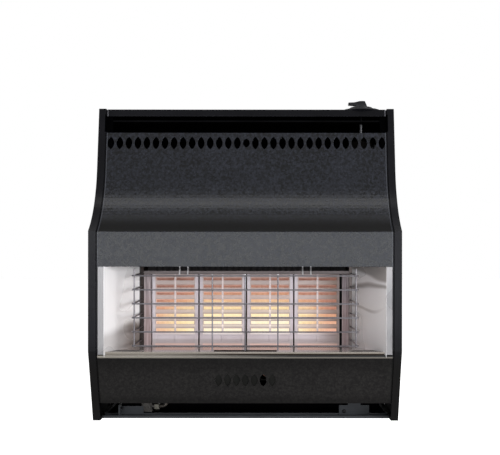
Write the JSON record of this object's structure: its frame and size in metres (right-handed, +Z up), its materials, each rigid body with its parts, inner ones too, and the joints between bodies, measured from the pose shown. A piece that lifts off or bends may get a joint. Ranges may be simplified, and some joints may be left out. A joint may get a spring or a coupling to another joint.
{
  "type": "wall mounted gas heater",
  "caption": "Wall mounted radiant gas fire: black cheeks, slotted hammered hood, ceramic radiants behind a chrome wire guard, polished reflectors, and a push-and-turn gas tap on top.",
  "frame": {"origin": "centre of the four wall fixing holes, on the wall plane that the back panel lies against", "axes": "+Z up, -Y out of the front into the room, +Y into the wall, +X to the viewer's right"},
  "size_m": [0.5944, 0.25, 0.636],
  "materials": {
    "galvanised": "satin",
    "black_enamel": "satin",
    "hammered_grey": "hammered",
    "hammered_black": "hammered",
    "grey_enamel": "satin",
    "bright_trim": "polished",
    "mirror_steel": "polished",
    "radiant_ceramic": "matte",
    "fire_clay": "matte",
    "heat_steel": "heat tinted",
    "aluminised": "satin",
    "brass": "turned",
    "oxidised_brass": "oxidised",
    "copper": "drawn",
    "glazed_white": "gloss",
    "chrome_wire": "polished",
    "plated_steel": "bright",
    "black_plastic": "satin",
    "silicone_sleeve": "matte"
  },
  "bodies": {
    "casing": {"back_panel": "black_enamel", "left_cheek": "black_enamel", "right_cheek": "black_enamel", "top_panel": "black_enamel", "outlet_deflector": "black_enamel", "hood": "hammered_grey", "lower_panel": "hammered_black", "slot_shutter": "black_enamel", "base_rail": "grey_enamel", "base_plate": "black_enamel", "inlet_bracket": "grey_enamel", "foot_bracket": "grey_enamel", "floor_nosing": "bright_trim", "reflector_floor": "mirror_steel", "reflector_left": "mirror_steel", "reflector_right": "mirror_steel", "radiant_rail": "heat_steel", "radiant_shelf": "heat_steel", "radiant_1": "radiant_ceramic", "radiant_2": "radiant_ceramic", "radiant_3": "radiant_ceramic", "radiant_4": "radiant_ceramic", "side_bricks": "fire_clay", "fire_back": "fire_clay", "firebox": "heat_steel", "heat_exchanger": "aluminised", "flue_baffle": "aluminised", "flue_spigot": "aluminised", "stand_off_brackets": "galvanised", "burner": "heat_steel", "injector": "brass", "injector_bracket": "galvanised", "pilot_bracket": "galvanised", "pilot_burner": "brass", "thermocouple": "copper", "electrode": "glazed_white", "dress_guard": "chrome_wire", "tap_bracket": "galvanised", "tap_body": "brass", "return_spring": "plated_steel", "knob_bezel": "black_plastic", "igniter": "black_plastic", "inlet_elbow": "oxidised_brass", "supply_pipe": "copper", "burner_pipe": "copper", "pilot_pipe": "copper", "ignition_lead": "silicone_sleeve", "pipe_nuts": "brass", "foot_screws": "plated_steel", "casing_screws": "black_enamel"},
    "tap_plug": {"tap_plug": "brass"},
    "control_knob": {"control_knob": "black_plastic", "tap_spindle": "plated_steel"},
    "isolating_screw": {"isolating_screw": "oxidised_brass"}
  },
  "joints": [
    {"name": "knob_turn", "type": "hinge", "parent": "casing", "child": "tap_plug", "pos_m": [0.233, -0.085, 0.2], "axis": [0, 0, 1], "range_deg": [0, 180]},
    {"name": "knob_push", "type": "slide", "parent": "tap_plug", "child": "control_knob", "axis": [0, 0, -1], "range_m": [0, 0.0035], "stiffness_N_per_m": 900, "springref_m": -0.004, "deforming": ["return_spring"]},
    {"name": "isolator_turn", "type": "hinge", "parent": "casing", "child": "isolating_screw", "pos_m": [-0.199, -0.12, -0.3036], "axis": [0, -1, 0], "range_deg": [0, 90]}
  ]
}
